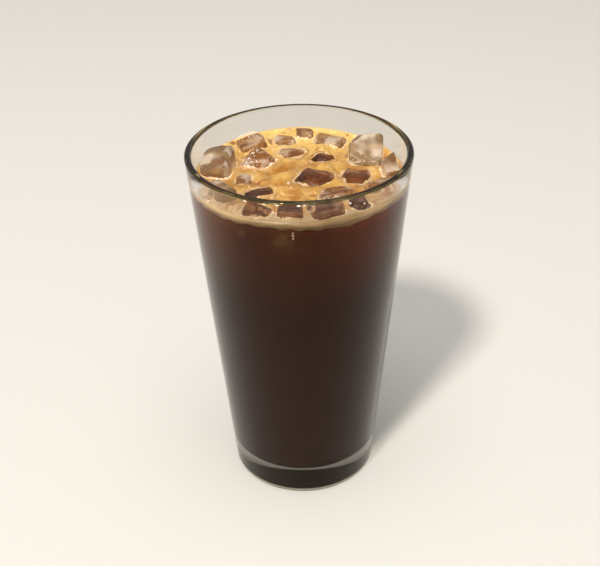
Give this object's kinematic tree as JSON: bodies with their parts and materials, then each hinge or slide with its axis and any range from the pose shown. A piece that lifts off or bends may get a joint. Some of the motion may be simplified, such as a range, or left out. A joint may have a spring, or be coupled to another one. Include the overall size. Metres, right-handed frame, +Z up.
{
  "type": "iced coffee in a pint tumbler",
  "caption": "Iced black coffee with tan foam and floating ice in a straight, slightly flared clear glass tumbler with a thick base.",
  "frame": {"origin": "centre of the foot, on the tumbler's axis, at the height of the surface that it stands on", "axes": "+Z up along the tumbler's axis; +X to the right and +Y away from the viewer, as the drink is seen in the picture"},
  "size_m": [0.0888, 0.0888, 0.149],
  "materials": {
    "glass": "clear, fire-polished",
    "coffee": "dark clear liquid",
    "foam": "fine wet foam",
    "ice": "wet, clear with faint cloud"
  },
  "bodies": {
    "root": {"glass": "glass", "coffee": "coffee", "foam": "foam", "ice_left": "ice", "ice_right": "ice", "ice_right_wall": "ice", "ice_left_inner": "ice", "ice_back_left": "ice", "ice_back_wall": "ice", "ice_back_small": "ice", "ice_back_long": "ice", "ice_back_middle": "ice", "ice_middle_small": "ice", "ice_middle": "ice", "ice_right_inner": "ice", "ice_left_small": "ice", "ice_dark": "ice", "ice_front_inner": "ice", "ice_front_left": "ice", "ice_front_lens": "ice", "ice_front_mound": "ice", "ice_front_block": "ice", "ice_front_round": "ice", "ice_front_right": "ice"}
  },
  "joints": []
}
